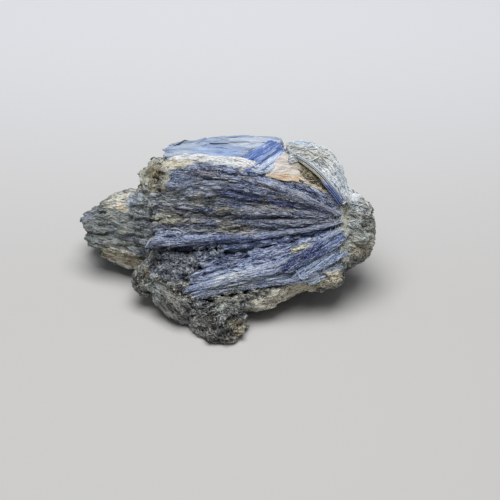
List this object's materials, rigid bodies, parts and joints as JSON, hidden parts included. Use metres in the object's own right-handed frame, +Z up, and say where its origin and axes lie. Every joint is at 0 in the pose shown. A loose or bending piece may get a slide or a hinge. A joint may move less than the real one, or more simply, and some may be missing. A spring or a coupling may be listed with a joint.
{
  "type": "kyanite blade cluster",
  "caption": "Natural cluster of blue kyanite blades in fan-shaped sprays on a grey-green mica matrix, standing on a rough foot.",
  "frame": {"origin": "middle of the bounding box's underside, at the level that the cluster rests on", "axes": "+X along the longest side, towards the end where the main blades converge; +Z up; the leaning face looks towards -Y and up"},
  "size_m": [0.1031, 0.0629, 0.0507],
  "materials": {
    "mica_schist": "rough grey-green mica and quartz schist with ochre and cream patches",
    "grey_blue_kyanite": "pearly grey-blue blades with dark gaps and pale streaks",
    "blue_kyanite": "pearly lavender-blue blades, deep blue in the middle",
    "pale_kyanite": "satin pale-blue cleavage plates",
    "royal_kyanite": "glossy deep-blue blades with white streaks",
    "feldspar": "smooth cream feldspar cleavage",
    "white_blue_kyanite": "fibrous blue-white blades",
    "grey_green_kyanite": "fibrous grey-green blades with cream and brown patches"
  },
  "bodies": {
    "root": {"mica_matrix": "mica_schist", "main_blade_spray": "grey_blue_kyanite", "lower_blade_spray": "blue_kyanite", "top_pale_blades": "pale_kyanite", "top_royal_blades": "royal_kyanite", "feldspar_grain": "feldspar", "crest_blade_spray": "white_blue_kyanite", "left_blade_bundle": "grey_green_kyanite"}
  },
  "joints": []
}
